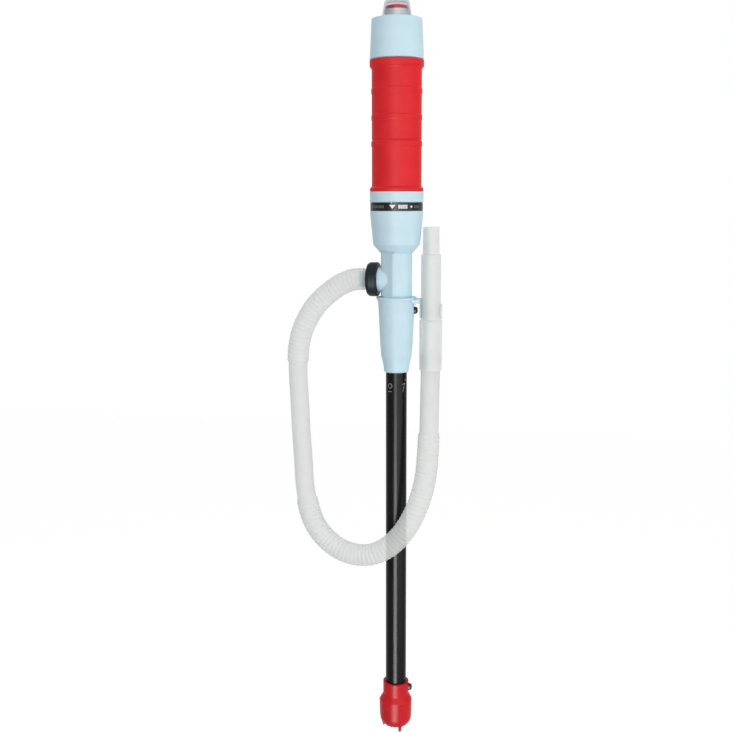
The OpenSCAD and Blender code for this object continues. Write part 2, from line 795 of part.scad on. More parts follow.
// A small pointer on the collar hangs down over the band and marks the twist joint at the front
module collar_pointer() {
    translate([0, -band_r - 0.2, collar_z]) rotate([90, 0, 0]) linear_extrude(collar_r + 0.15 - band_r)
        polygon([[-1.6, 1.4], [0, -1.2], [1.6, 1.4]]);
}

module battery_barrel() {
    color(PALE_BLUE) difference() {
        union() {
            translate([0, 0, barrel_foot_z]) cylinder(r = barrel_r, h = barrel_top_z - barrel_foot_z);
            revolve([
                [0, collar_z], [collar_r - 0.3, collar_z], [collar_r, collar_z + 0.4],
                [collar_r, collar_top_z - 0.3], [collar_r - 0.3, collar_top_z], [0, collar_top_z]
            ]);
            barrel_lugs();
            collar_pointer();
        }
        translate([0, 0, barrel_foot_z - 1])
            cylinder(r = barrel_bore_r, h = barrel_top_z - barrel_foot_z + 2);
        sector(barrel_r + 0.05, barrel_r - strip_depth, barrel_foot_z - 1, barrel_top_z + 1,
            strip_arc + 2, contact_angle);
        tube(cup_bore_r + 1.25, cup_bore_r + 0.1, collar_z - 1, collar_z + 0.5);
    }
}

module collar_gasket() {
    color(RUBBER) tube(cup_bore_r + 1.2, cup_bore_r + 0.15, rim_z + 0.03, collar_z + 0.45);
}

module contact_strip() {
    out = barrel_r - 0.08;
    in = out - strip_t;
    leg_top = barrel_top_z + 0.05 + strip_t;
    color(BRASS) {
        sector(out, in, barrel_foot_z + 0.4, leg_top, strip_arc, contact_angle);
        rotate([0, 0, contact_angle]) translate([switch_r + 0.1, -contact_w / 2, barrel_top_z + 0.05])
            cube([in + 0.1 - switch_r, contact_w, strip_t]);
    }
}

// One finger ridge of the sleeve's outline, from its lower to its upper edge
function ridge(z, step, half) = [
    [sleeve_r, z - half - 0.8], [sleeve_r + step, z - half],
    [sleeve_r + step, z + half], [sleeve_r, z + half + 0.8]
];

module grip_sleeve() {
    ridge_half = 1.6;
    groove_half = 0.7;
    top_ridge_z = sleeve_top_z - 23.8;
    mid_ridge_z = top_ridge_z - ridge_pitch;
    low_ridge_z = mid_ridge_z - ridge_pitch;
    groove_z = low_ridge_z + 3.2;
    color(RED) revolve(concat(
        [
            [sleeve_bore_r, sleeve_z], [sleeve_flange_r - 0.5, sleeve_z], [sleeve_flange_r, sleeve_z + 0.6],
            [sleeve_flange_r, sleeve_z + 2.4], [sleeve_flange_r - 0.4, sleeve_z + 3],
            [sleeve_r + 0.4, sleeve_z + 3.5], [sleeve_r, sleeve_z + 4.4]
        ],
        ridge(low_ridge_z, ridge_step, ridge_half),
        [[sleeve_r, groove_z - groove_half], [sleeve_r - 0.45, groove_z], [sleeve_r, groove_z + groove_half]],
        ridge(mid_ridge_z, ridge_step * 0.8, ridge_half),
        ridge(top_ridge_z, ridge_step, ridge_half),
        [
            [sleeve_r, sleeve_top_z - 7.4], [sleeve_r + 0.3, sleeve_top_z - 6.4],
            [sleeve_flange_r - 0.4, sleeve_top_z - 5.2], [sleeve_flange_r, sleeve_top_z - 4.4],
            [sleeve_flange_r, sleeve_top_z - 0.5], [sleeve_flange_r - 0.5, sleeve_top_z],
            [sleeve_bore_r, sleeve_top_z]
        ]
    ));
}

module top_cap() {
    mouth_r = switch_r + 0.2;
    bore_top_z = barrel_top_z + 0.6;
    slope = (cap_foot_r - cap_shoulder_r) / (cap_shoulder_z - cap_z - 1.6);
    inner_top_r = cap_shoulder_r - cap_wall;
    inner_foot_r = cap_shoulder_r + slope * (cap_shoulder_z - bore_top_z) - cap_wall;
    color(PALE_BLUE) revolve([
        [sleeve_bore_r, cap_z], [cap_foot_r - 0.8, cap_z], [cap_foot_r - 0.8, cap_z + 0.4],
        [cap_foot_r, cap_z + 0.5], [cap_foot_r, cap_z + 1.6],
        [cap_shoulder_r, cap_shoulder_z - 0.4], [cap_shoulder_r - 0.2, cap_shoulder_z + 0.1],
        [cap_shoulder_r - 0.9, cap_shoulder_z + 0.4], [boot_foot_r + 0.6, cap_neck_top_z],
        [mouth_r, cap_neck_top_z], [mouth_r, cap_web_z], [inner_top_r, cap_web_z],
        [max(inner_foot_r, sleeve_bore_r), bore_top_z], [sleeve_bore_r, bore_top_z]
    ]);
}

module cell() {
    shoulder = 1.6;
    nub_h = 1.5;
    nub_r = 4.75;
    can_top = cell_h - nub_h;
    revolve([
        [0, 0], [cell_r - 4, 0], [cell_r - 3.4, 0.4], [cell_r - 0.8, 0.4], [cell_r, 1.2],
        [cell_r, can_top - shoulder], [cell_r - shoulder, can_top], [nub_r, can_top], [nub_r - 0.4, cell_h], [0, cell_h]
    ]);
}

module battery_lower() {
    color(RUBBER) translate([0, 0, cells_z]) cell();
}

module battery_upper() {
    color(RUBBER) translate([0, 0, cells_z + cell_h]) cell();
}

module top_contact() {
    color(BRASS) translate([0, 0, switch_z - top_contact_t]) cylinder(r = switch_r - 1, h = top_contact_t);
}

module switch_body() {
    color(BLACK) difference() {
        union() {
            translate([0, 0, switch_z]) cylinder(r = switch_r, h = cap_neck_top_z + guard_h - switch_z);
            translate([0, 0, cap_web_z - 2.4]) cylinder(r = switch_flange_r, h = 2.3);
        }
        translate([0, 0, well_z]) cylinder(r = well_r, h = cap_neck_top_z);
        translate([0, 0, button_z - button_travel - 0.6]) cylinder(r = guard_bore_r, h = cap_neck_top_z);
        translate([0, 0, stem_foot_z - button_travel - 0.5]) cylinder(r = stem_r + 0.1, h = cap_neck_top_z);
    }
}

module push_button() {
    top = button_z + button_h;
    color(RED) revolve([
        [0, stem_foot_z], [stem_r, stem_foot_z], [stem_r, button_z], [button_r - 0.4, button_z],
        [button_r, button_z + 0.4], [button_r, top - 1], [button_r - 0.5, top - 0.4], [button_r - 2, top - 0.1],
        [0, top]
    ]);
}

module button_spring() {
    color(STEEL) coil(4.6, 4.6, 0.4, well_z + seat, button_z - seat, 5, 10);
}

module switch_boot() {
    color(CLEAR, 0.5) revolve([
        [boot_foot_r - 1.4, cap_neck_top_z + seat], [boot_foot_r, cap_neck_top_z + seat],
        [boot_top_r + 0.5, button_z + 3.4], [boot_top_r, boot_crown_z + 1.6], [boot_top_r - 0.9, boot_crown_z + 3],
        [boot_top_r - 2.6, boot_top_z - 0.3], [0, boot_top_z], [0, boot_crown_z],
        [boot_top_r - boot_wall, boot_crown_z], [switch_r + 0.3, button_z + 1.9], [boot_foot_r - 1.4, button_z - 2.9]
    ]);
}

// ---------- outlet nut, hose and nozzle ----------

module hose_nut() {
    face = nut_start + nut_w;
    grip_bore_r = hose_r + 0.3;
    color(BLACK) translate([0, 0, outlet_z]) rotate([0, -90, 0]) revolve([
        [stub_r + running, nut_start], [nut_r - 0.4, nut_start], [nut_r, nut_start + 0.5],
        [nut_r, face - 3], [nut_r - 0.4, face - 1.5], [nut_r - 1.3, face - 0.4], [nut_r - 2.4, face],
        [grip_bore_r, face], [grip_bore_r, stub_end], [stub_r + running, stub_end]
    ]);
}

module hose_cuff() {
    color(CLEAR) translate([0, 0, outlet_z]) rotate([0, -90, 0])
        tube(hose_r, hose_r - hose_wall, stub_end + seat, cuff_end);
}

function in_bellows(k) = len([for (span = bellows_spans) if (k >= span[0] && k <= span[1]) k]) > 0;

module hose() {
    start = [-cuff_end, 0, outlet_z];
    end = [clip_reach, 0, nozzle_z + nozzle_seat_h];
    path = concat([start], hose_route, [[clip_reach, 0, nozzle_z], end]);
    count = len(path);
    function heading(k) =
        k == 0 ? [-1, 0, 0] : k >= count - 2 ? [0, 0, 1] : unit(path[k + 1] - path[k - 1]);
    function hose_skin(r) = [for (k = [0:count - 1])
        ring_points(path[k], heading(k), r + (in_bellows(k - 1) ? bellows_step : 0), HOSE_SIDES)];
    color(CLEAR) pipe(hose_skin(hose_r), hose_skin(hose_r - hose_wall));
}

module discharge_nozzle() {
    top = nozzle_z + nozzle_h;
    tip_z = top - tip_h;
    bore_r = hose_r - hose_wall;
    color(CLEAR) translate([clip_reach, 0, 0]) revolve([
        [nozzle_bore_r, nozzle_z], [nozzle_r, nozzle_z], [nozzle_r + 0.2, nozzle_step_z - 1],
        [nozzle_waist_r, nozzle_step_z], [nozzle_waist_r, tip_z - 1], [nozzle_waist_r - 0.5, tip_z],
        [tip_r + 0.2, tip_z + 0.2], [tip_r, top], [tip_bore / 2, top], [tip_bore / 2, tip_z - 2],
        [bore_r, tip_z - 4], [bore_r, nozzle_z + nozzle_seat_h + 0.1],
        [nozzle_bore_r, nozzle_z + nozzle_seat_h + 0.1]
    ]);
}

// ---------- nodes ----------

motor_housing();
label_band();
tube_socket();
socket_screw();
socket_o_ring();
suction_tube();
strainer_body();
strainer_screw();
intake_basket();
lower_bush();
shaft_guides();
shaft_seal();
seal_plate();
motor_can();
motor_magnets();
motor_end_bell();
contact_plate();
motor_contact();
battery_spring();
hose();
hose_cuff();
discharge_nozzle();
hose_nut();
motor_armature();
shaft_coupling();
drive_shaft();
impeller();
battery_barrel();
grip_sleeve();
top_cap();
collar_gasket();
contact_strip();
battery_lower();
battery_upper();
top_contact();
switch_body();
switch_boot();
button_spring();
push_button();
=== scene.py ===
"""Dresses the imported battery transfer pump: the camera and the hose first, then the boot, the
button spring, the printed marks, the materials, the light and the floor. Everything is in metres, in
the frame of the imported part: Z up the pump's axis, -Y its front, -X the outlet."""
import json
import math

import bmesh
import bpy
from mathutils import Euler, Matrix, Vector


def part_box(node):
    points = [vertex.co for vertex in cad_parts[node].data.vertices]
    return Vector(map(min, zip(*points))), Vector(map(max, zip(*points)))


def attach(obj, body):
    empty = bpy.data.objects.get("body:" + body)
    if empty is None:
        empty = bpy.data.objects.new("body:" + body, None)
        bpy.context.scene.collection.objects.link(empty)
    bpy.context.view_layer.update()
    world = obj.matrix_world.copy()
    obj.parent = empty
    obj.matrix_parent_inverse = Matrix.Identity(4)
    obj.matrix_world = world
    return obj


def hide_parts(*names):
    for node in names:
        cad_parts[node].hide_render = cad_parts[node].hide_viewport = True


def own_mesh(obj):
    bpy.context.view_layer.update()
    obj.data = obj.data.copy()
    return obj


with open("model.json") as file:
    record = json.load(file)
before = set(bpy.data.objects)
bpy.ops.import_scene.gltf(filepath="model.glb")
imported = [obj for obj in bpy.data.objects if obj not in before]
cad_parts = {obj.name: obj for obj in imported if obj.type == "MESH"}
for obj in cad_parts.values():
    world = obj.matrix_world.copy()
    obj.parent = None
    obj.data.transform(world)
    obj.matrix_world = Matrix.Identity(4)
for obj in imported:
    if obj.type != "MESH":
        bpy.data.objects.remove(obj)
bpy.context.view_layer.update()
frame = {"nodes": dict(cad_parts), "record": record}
MM = 0.001


def placed(name, data):
    """A new object in the scene that shows the mesh, lamp or camera given."""
    thing = bpy.data.objects.new(name, data)
    bpy.context.collection.objects.link(thing)
    return thing


def new_object(name, points, faces):
    mesh = bpy.data.meshes.new(name)
    mesh.from_pydata([tuple(p) for p in points], [], faces)
    mesh.validate()
    mesh.shade_smooth()
    return placed(name, mesh)


def skin(name, rings, capped=False):
    """One skin through rings of points, each joined to the next."""
    n = len(rings[0])
    faces = []
    for k in range(len(rings) - 1):
        a, b = k * n, (k + 1) * n
        faces += [(a + i, a + (i + 1) % n, b + (i + 1) % n, b + i) for i in range(n)]
    if capped:
        last = (len(rings) - 1) * n
        faces += [tuple(reversed(range(n))), tuple(range(last, last + n))]
    return new_object(name, [p for ring in rings for p in ring], faces)


def ring_of_points(centre, across, over, radius, sides):
    """Points round a centre, turning from one direction to the other."""
    turns = [2 * math.pi * i / sides for i in range(sides)]
    return [centre + radius * (math.cos(a) * across + math.sin(a) * over) for a in turns]


# ---------- camera ----------

AZIMUTH, PITCH, ROLL = math.radians(13.0), math.radians(9.0), math.radians(-0.18)
AWAY, ASIDE, ABOVE = 0.832, 0.0252, 0.1364  # the camera's place, from the origin
right = Vector((math.cos(AZIMUTH), math.sin(AZIMUTH), 0))
ahead = Vector((-math.sin(AZIMUTH), math.cos(AZIMUTH), 0))
camera_data = bpy.data.cameras.new("camera")
camera_data.sensor_width = 36
camera_data.lens = 49.9
camera_data.clip_start, camera_data.clip_end = 0.05, 20
camera = placed("camera", camera_data)
camera.location = -AWAY * ahead - ASIDE * right + Vector((0, 0, ABOVE))
aim = Euler((math.pi / 2 - PITCH, 0, AZIMUTH)).to_matrix() @ Matrix.Rotation(ROLL, 3, "Z")
camera.rotation_euler = aim.to_euler()
bpy.context.scene.camera = camera


# ---------- hose ----------

HOSE_R = 7.9 * MM
HOSE_WALL = 1.6 * MM
HOSE_SIDES = 48
RIB_R, VALLEY_R = 9.2 * MM, 8.85 * MM
RIB_PITCH = 3.5 * MM
RIB_FADE = 3 * MM  # the length over which the ribs rise from the plain wall
RIB_STEP, PLAIN_STEP = RIB_PITCH / 10, 1.4 * MM  # between two rings of points
RIB_MARGIN = 4 * MM  # the plain wall beside the ribs that is stepped as finely as they are
TURN_BACK = 4  # how many rings deep the wall shows inside the hose's ends
CURVE_STEPS = 24  # of the smooth line between two points of the route
ROUTE = [Vector(p) * MM for p in [
    (-20.85, 0, 76.3), (-25.9, 0, 76.3), (-32.2, 0, 76.25),
    (-38, 0, 75.3), (-46, 0, 72), (-54, 0, 67), (-62, 0, 60.5), (-69.5, 0, 52.5), (-76, 0, 42.5),
    (-81, 0, 31.5), (-84, 0, 19), (-85, 0, 6), (-85, 0, -7), (-84, -1, -21), (-83, -2, -36),
    (-82, -3.5, -51), (-80.5, -5.5, -66), (-79, -7.5, -81), (-77.5, -10, -96), (-75, -12, -110),
    (-71, -14, -123.5), (-64.5, -16, -135), (-55, -17.5, -144.5), (-43.5, -19, -151),
    (-31, -20, -154), (-18.5, -21, -153), (-7, -21.5, -148), (3.5, -21.5, -139.5),
    (12.5, -21, -128), (19.5, -19, -114.5), (24.5, -15.5, -99.5), (27.3, -11.5, -84),
    (28, -7, -68), (28.2, -3.3, -51), (28.2, -1, -34), (28.3, 0, -17),
    (28.6, 0, 2.4), (28.6, 0, 14.3),
]]
BELLOWS = [(1, 11), (19, 33)]  # the route's points between which the hose is corrugated


def smooth_line(points):
    """A centripetal Catmull-Rom curve through the points, and the index of each point on it."""
    ends = [2 * points[0] - points[1], *points, 2 * points[-1] - points[-2]]
    line, marks = [], []
    for p0, p1, p2, p3 in zip(ends, ends[1:], ends[2:], ends[3:]):
        t0 = 0.0
        t1 = t0 + (p1 - p0).length ** 0.5
        t2 = t1 + (p2 - p1).length ** 0.5
        t3 = t2 + (p3 - p2).length ** 0.5
        marks.append(len(line))
        for k in range(CURVE_STEPS):
            t = t1 + (t2 - t1) * k / CURVE_STEPS
            a1 = p0 * ((t1 - t) / (t1 - t0)) + p1 * ((t - t0) / (t1 - t0))
            a2 = p1 * ((t2 - t) / (t2 - t1)) + p2 * ((t - t1) / (t2 - t1))
            a3 = p2 * ((t3 - t) / (t3 - t2)) + p3 * ((t - t2) / (t3 - t2))
            b1 = a1 * ((t2 - t) / (t2 - t0)) + a2 * ((t - t0) / (t2 - t0))
            b2 = a2 * ((t3 - t) / (t3 - t1)) + a3 * ((t - t1) / (t3 - t1))
            line.append(b1 * ((t2 - t) / (t2 - t1)) + b2 * ((t - t1) / (t2 - t1)))
    line.append(points[-1])
    marks.append(len(line) - 1)
    return line, marks


def hose_radius(at, zones):
    """Round ribs in the corrugated zones, which fade in and out, and a plain wall elsewhere."""
    inside = max(min(at - start, end - at) for start, end in zones)
    fade = min(1.0, max(0.0, inside / RIB_FADE + 0.5))
    rib = 0.5 + 0.5 * math.cos(2 * math.pi * at / RIB_PITCH)
    return HOSE_R + fade * (VALLEY_R - HOSE_R + (RIB_R - VALLEY_R) * rib)


def hose_stations(length, zones):
    """Where along the hose it gets a ring of points: close together in and near the ribs."""
    stations, at = [], 0.0
    while at < length:
        stations.append(at)
        ribbed = any(start - RIB_MARGIN < at < end + RIB_MARGIN for start, end in zones)
        at += RIB_STEP if ribbed else PLAIN_STEP
    return stations + [length]


def points_at(stations, line, along):
    """The line's points at these distances along it."""
    spots, j = [], 0
    for at in stations:
        while j < len(along) - 2 and along[j + 1] < at:
            j += 1
        spots.append(line[j].lerp(line[j + 1], (at - along[j]) / (along[j + 1] - along[j])))
    return spots


def make_hose():
    """The hose's skin, its middle line and its length. The ends turn in by the wall and run a little
    way back inside, so that they show as rings."""
    line, marks = smooth_line(ROUTE)
    along = [0.0]
    for a, b in zip(line, line[1:]):
        along.append(along[-1] + (b - a).length)
    zones = [(along[marks[a]], along[marks[b]]) for a, b in BELLOWS]
    stations = hose_stations(along[-1], zones)
    centres = points_at(stations, line, along)
    last = len(centres) - 1
    across, outside, inside = Vector((0, 1, 0)), [], {}
    for k, centre in enumerate(centres):
        tangent = (centres[min(k + 1, last)] - centres[max(k - 1, 0)]).normalized()
        across = (across - across.dot(tangent) * tangent).normalized()
        over = tangent.cross(across)
        radius = hose_radius(stations[k], zones)
        outside.append(ring_of_points(centre, across, over, radius, HOSE_SIDES))
        if k in (0, last):
            depths = (centres[TURN_BACK], centre) if k == 0 else (centre, centres[last - TURN_BACK])
            bore = radius - HOSE_WALL
            inside[k] = [ring_of_points(c, across, over, bore, HOSE_SIDES) for c in depths]
    return skin("hose_tube", inside[0] + outside + inside[last]), line, along[-1]


hose, hose_line, hose_length = make_hose()
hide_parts("hose", "hose_cuff")
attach(hose, "pump")


# ---------- boot and button spring ----------------------------------------------


def squash_with_button(piece):
    """The piece rides the handle, with a mesh of its own."""
    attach(piece, "handle")
    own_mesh(piece)


def revolve(name, outline, sides=96):
    """A closed outline of (radius, height) turned round the pump's axis."""
    points, faces, rows = [], [], []
    for r, z in outline:
        if r < 1e-7:
            rows.append([len(points)] * sides)
            points.append((0, 0, z))
        else:
            rows.append(list(range(len(points), len(points) + sides)))
            for i in range(sides):
                turn = 2 * math.pi * i / sides
                points.append((r * math.cos(turn), r * math.sin(turn), z))
    for a, b in zip(rows, rows[1:] + rows[:1]):
        for i in range(sides):
            j = (i + 1) % sides
            face = list(dict.fromkeys((a[i], a[j], b[j], b[i])))
            if len(face) > 2:
                faces.append(face)
    return new_object(name, points, faces)


def rounded(corners, per_corner=5, most=0.45):
    """A closed outline whose corners (radius, height, fillet) are rounded by their fillets, each of
    which takes at most a share of its sides."""
    out = []
    for k, (x, z, fillet) in enumerate(corners):
        here = Vector((x, z))
        if fillet == 0:
            out.append(tuple(here))
            continue
        before = Vector(corners[k - 1][:2]) - here
        after = Vector(corners[(k + 1) % len(corners)][:2]) - here
        cut = min(fillet, most * before.length, most * after.length)
        a, b = here + before.normalized() * cut, here + after.normalized() * cut
        for i in range(per_corner + 1):
            t = i / per_corner
            out.append(tuple(a * (1 - t) ** 2 + here * 2 * t * (1 - t) + b * t * t))
    return out


def make_boot():
    """A clear cap with a flared foot, a straight wall over the switch's ring and a domed top."""
    low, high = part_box("switch_boot")
    foot, top, foot_r = low[2], high[2], high[0]
    crown_r = foot_r - 1.8 * MM
    shoulder = top - 4.6 * MM
    boot = revolve("boot_skin", rounded([
        (foot_r - 1.2 * MM, foot, 0),
        (foot_r, foot, 0.3 * MM),
        (crown_r + 0.35 * MM, shoulder, 2.0 * MM),
        (crown_r - 0.4 * MM, top - 0.5 * MM, 1.6 * MM),
        (0, top, 0),
        (0, top - 1.1 * MM, 0),
        (crown_r - 1.7 * MM, top - 1.7 * MM, 1.2 * MM),
        (crown_r - 0.75 * MM, shoulder, 1.4 * MM),
        (foot_r - 1.2 * MM, foot + 1.4 * MM, 0.4 * MM),
    ]))
    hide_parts("switch_boot")
    squash_with_button(boot)
    return boot


def make_spring():
    low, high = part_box("button_spring")
    wire_r, turns, steps, sides = 0.4 * MM, 5, 28, 10
    coil_r, rise = high[0] - wire_r, high[2] - low[2] - 2 * wire_r
    up = Vector((0, 0, 1))
    rings = []
    for k in range(turns * steps + 1):
        t = k / (turns * steps)
        turn = 2 * math.pi * turns * t
        out = Vector((math.cos(turn), math.sin(turn), 0))
        climb = t - 0.076 * math.sin(2 * math.pi * t)  # the end coils lie closer than the middle ones
        centre = coil_r * out + (low[2] + wire_r + rise * climb) * up
        rings.append(ring_of_points(centre, out, -up, wire_r, sides))
    spring = skin("button_coil", rings, capped=True)
    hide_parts("button_spring")
    squash_with_button(spring)
    return spring


boot = make_boot()
spring = make_spring()


# ---------- printed marks ----------

PRINT_LIFT = 0.03 * MM
band_low, band_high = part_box("label_band")
band_r, band_mid = band_high[0] + PRINT_LIFT, (band_low[2] + band_high[2]) / 2
tube_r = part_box("suction_tube")[1][0] + PRINT_LIFT


def print_on(name, outlines, radius, angle, height):
    """Flat outlines in millimetres, wrapped on a cylinder round the pump's axis at an angle in
    degrees and a height."""
    mesh = bmesh.new()
    for outline in outlines:
        mesh.faces.new([mesh.verts.new((x * MM, 0, z * MM)) for x, z in outline])
    bmesh.ops.triangulate(mesh, faces=mesh.faces[:])
    bmesh.ops.subdivide_edges(mesh, edges=mesh.edges[:], cuts=2, use_grid_fill=True)
    for v in mesh.verts:
        turn = math.radians(angle) + v.co.x / radius
        v.co = (radius * math.cos(turn), radius * math.sin(turn), height + v.co.z)
    bmesh.ops.recalc_face_normals(mesh, faces=mesh.faces[:])
    data = bpy.data.meshes.new(name)
    mesh.to_mesh(data)
    mesh.free()
    piece = placed(name, data)
    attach(piece, "pump")
    return piece


def bar(x, z, w, h):
    left, right, foot, top = x - w / 2, x + w / 2, z - h / 2, z + h / 2
    return [(left, foot), (right, foot), (right, top), (left, top)]


def bar_row(first, last, pitch, w, h):
    return [bar(pitch * k, 0, w, h) for k in range(first, last + 1)]


def ring(outer, inner, count=12):
    """A ring's outline as quads, so that its middle stays open."""
    turns = [2 * math.pi * k / count for k in range(count + 1)]
    spots = [(math.cos(a), math.sin(a)) for a in turns]
    return [[(outer * a[0], outer * a[1]), (outer * b[0], outer * b[1]),
             (inner * b[0], inner * b[1]), (inner * a[0], inner * a[1])]
            for a, b in zip(spots, spots[1:])]


def stroke(x0, z0, x1, z1, w):
    along = Vector((x1 - x0, z1 - z0)).normalized() * w / 2
    return [(x0 - along.y, z0 + along.x), (x1 - along.y, z1 + along.x),
            (x1 + along.y, z1 - along.x), (x0 + along.y, z0 - along.x)]


def print_on_band(name, outlines, angle):
    return print_on(name, outlines, band_r, angle, band_mid)


marks = [
    print_on_band("band_arrow", [[(-2.6, 1.5), (0, -1.6), (2.6, 1.5)]], -88),
    print_on_band("band_bars", bar_row(-2, 2, 1.55, 1.15, 3.0), -65),
    print_on_band("band_dot", [[(-1.2, 0), (0, -1.1), (1.2, 0), (0, 1.1)]], -45.5),
]
faint_marks = [
    print_on_band("band_scale_left", bar_row(-5, 5, 1.3, 0.7, 2.2), -126),
    print_on_band("band_scale_right", bar_row(-2, 2, 1.3, 0.7, 2.2), -29),
]
RING_AND_DASH = ring(2.1, 1.7) + [bar(-0.3, -4.8, 3.6, 0.4)]
HOOK = [stroke(1.2, 1.6, -0.7, -5.2, 0.4), stroke(-1.6, 0.6, 1.2, 1.6, 0.4), bar(2.0, 4.4, 0.7, 0.9)]
tube_marks = [
    print_on("tube_ring_mark", RING_AND_DASH, tube_r, -115, -11 * MM),
    print_on("tube_level_mark", HOOK, tube_r, -36, -10.5 * MM),
]


# ---------- materials ----------

TONE_SIZE = 14  # millimetres, of the slow drift of tone
GLOSS_DRIFT = 0.05


def node(tree, kind, **values):
    """A new shader node with some inputs set. An underscore stands for a space in their names."""
    made = tree.nodes.new("ShaderNode" + kind)
    for key, value in values.items():
        made.inputs[key.replace("_", " ")].default_value = value
    return made


def plastic(name, colour, rough, spread=0.03, grain=0.03, grain_size=0.35, stretch=(1, 1, 1),
            alpha=1.0, shine=0.5, edge=0.4, metallic=0.0):
    """A moulded plastic: a slow drift of tone, uneven gloss, a fine moulded grain and softened edges.
    The grain's size and the edges' radius are in millimetres."""
    m = bpy.data.materials.new(name)
    m.use_nodes = True
    tree = m.node_tree
    link = tree.links.new
    shader = tree.nodes["Principled BSDF"]
    shader.inputs["Alpha"].default_value = alpha
    shader.inputs["Specular IOR Level"].default_value = shine
    shader.inputs["Metallic"].default_value = metallic
    place = node(tree, "TexCoord")
    tone = node(tree, "TexNoise", Scale=1 / (TONE_SIZE * MM), Detail=3)
    shades = node(tree, "ValToRGB")
    for stop, position, factor in zip(shades.color_ramp.elements, (0.3, 0.7), (1 - spread, 1 + spread)):
        stop.color = (*[min(1.0, c * factor) for c in colour], 1)
        stop.position = position
    gloss = node(tree, "MapRange", To_Min=rough - GLOSS_DRIFT, To_Max=rough + GLOSS_DRIFT)
    lay = node(tree, "Mapping", Scale=stretch)
    fine = node(tree, "TexNoise", Scale=1 / (grain_size * MM), Detail=2)
    softened = node(tree, "Bevel", Radius=edge * MM)
    bump = node(tree, "Bump", Strength=grain, Distance=0.1 * MM)
    link(place.outputs["Object"], tone.inputs["Vector"])
    link(tone.outputs["Fac"], shades.inputs["Fac"])
    link(shades.outputs["Color"], shader.inputs["Base Color"])
    link(tone.outputs["Fac"], gloss.inputs["Value"])
    link(gloss.outputs["Result"], shader.inputs["Roughness"])
    link(place.outputs["Object"], lay.inputs["Vector"])
    link(lay.outputs["Vector"], fine.inputs["Vector"])
    link(fine.outputs["Fac"], bump.inputs["Height"])
    link(softened.outputs["Normal"], bump.inputs["Normal"])
    link(bump.outputs["Normal"], shader.inputs["Normal"])
    return m


def metal(name, colour, rough):
    """A drawn or turned metal with fine lines round its axis."""
    return plastic(name, colour, rough, spread=0.06, grain=0.08, grain_size=5.5, stretch=(1, 1, 12),
                   metallic=1.0)


def see_through(material, middle, rim):
    """Clear moulded walls: more is seen through them where they face the eye than along their rims."""
    tree = material.node_tree
    weight = node(tree, "LayerWeight", Blend=0.19)
    cover = node(tree, "MapRange", To_Min=middle, To_Max=rim)
    tree.links.new(weight.outputs["Facing"], cover.inputs["Value"])
    tree.links.new(cover.outputs["Result"], tree.nodes["Principled BSDF"].inputs["Alpha"])
    return material


def painted_light_beyond(material, start, end, tint):
    """Painted light through thin walls: the colour fades to the tint from one X to another."""
    tree = material.node_tree
    link = tree.links.new
    target = tree.nodes["Principled BSDF"].inputs["Base Color"]
    colour = target.links[0].from_socket
    place, apart = node(tree, "TexCoord"), node(tree, "SeparateXYZ")
    fade = node(tree, "MapRange", From_Min=start, From_Max=end)
    blend = node(tree, "Mix")
    blend.data_type = "RGBA"
    blend.inputs["B"].default_value = (*tint, 1)
    link(place.outputs["Object"], apart.inputs["Vector"])
    link(apart.outputs["X"], fade.inputs["Value"])
    link(fade.outputs["Result"], blend.inputs["Factor"])
    link(colour, blend.inputs["A"])
    link(blend.outputs["Result"], target)
    return material


PALE_BLUE = (0.59, 0.79, 0.89)
FINISH = {
    "pale_blue_plastic": plastic("pale_blue_abs", PALE_BLUE, 0.42, shine=0.08, edge=1.3),
    "red_plastic": plastic("red_plastic", (0.63, 0.016, 0.024), 0.34, spread=0.05, shine=0.062),
    "black_plastic": plastic(
        "black_tube", (0.0035, 0.0035, 0.0042), 0.26, spread=0.1, grain=0.0, shine=0.08),
    "dark_plastic": plastic("nut_plastic", (0.014, 0.018, 0.021), 0.42, spread=0.12, shine=0.07),
    "label_black": plastic(
        "label_film", (0.005, 0.005, 0.006), 0.3, spread=0.1, grain=0.01, shine=0.15),
    "clear_hose": plastic(
        "milky_hose", (0.82, 0.84, 0.84), 0.6, spread=0.02, grain=0.0, alpha=0.58, shine=0.03),
    "clear_boot": see_through(
        plastic("clear_boot", (0.28, 0.32, 0.43), 0.12, grain=0.0, shine=0.08), middle=0.0, rim=1.0),
    "black_screw": plastic("black_oxide", (0.012, 0.012, 0.013), 0.4, spread=0.15, metallic=0.6),
    "steel": metal("drawn_steel", (0.56, 0.57, 0.58), 0.3),
    "brass": metal("turned_brass", (0.72, 0.56, 0.26), 0.28),
    "magnet": plastic("ferrite", (0.035, 0.035, 0.04), 0.6, spread=0.2, grain=0.15),
    "nylon": plastic("natural_nylon", (0.78, 0.76, 0.69), 0.42),
    "rubber": plastic("black_rubber", (0.016, 0.016, 0.016), 0.62, spread=0.1, grain=0.1, shine=0.3),
    "cell_can": plastic("cell_jacket", (0.12, 0.14, 0.16), 0.34, metallic=0.5),
}
OWN_FINISH = {
    "discharge_nozzle": plastic(
        "milky_nozzle", (0.89, 0.93, 0.925), 0.36, spread=0.02, grain=0.02, alpha=0.62, shine=0.14),
    # the socket's clip side is painted paler from 17 to 23 mm in X, as painted light through its thin
    # walls
    "tube_socket": painted_light_beyond(
        plastic("pale_blue_socket", PALE_BLUE, 0.45, shine=0.07), 17 * MM, 23 * MM, (0.80, 0.86, 0.88)),
    "grip_sleeve": plastic(
        "red_grip", (0.75, 0.024, 0.031), 0.45, spread=0.05, grain=0.08, grain_size=0.5, shine=0.05),
    "switch_body": plastic("grey_switch", (0.55, 0.58, 0.62), 0.4),
    "push_button": plastic("red_button", (0.50, 0.004, 0.006), 0.3, grain=0.0, shine=0.2),
}
INK = plastic("pale_ink", (0.62, 0.64, 0.65), 0.5, spread=0.1, grain=0.02)
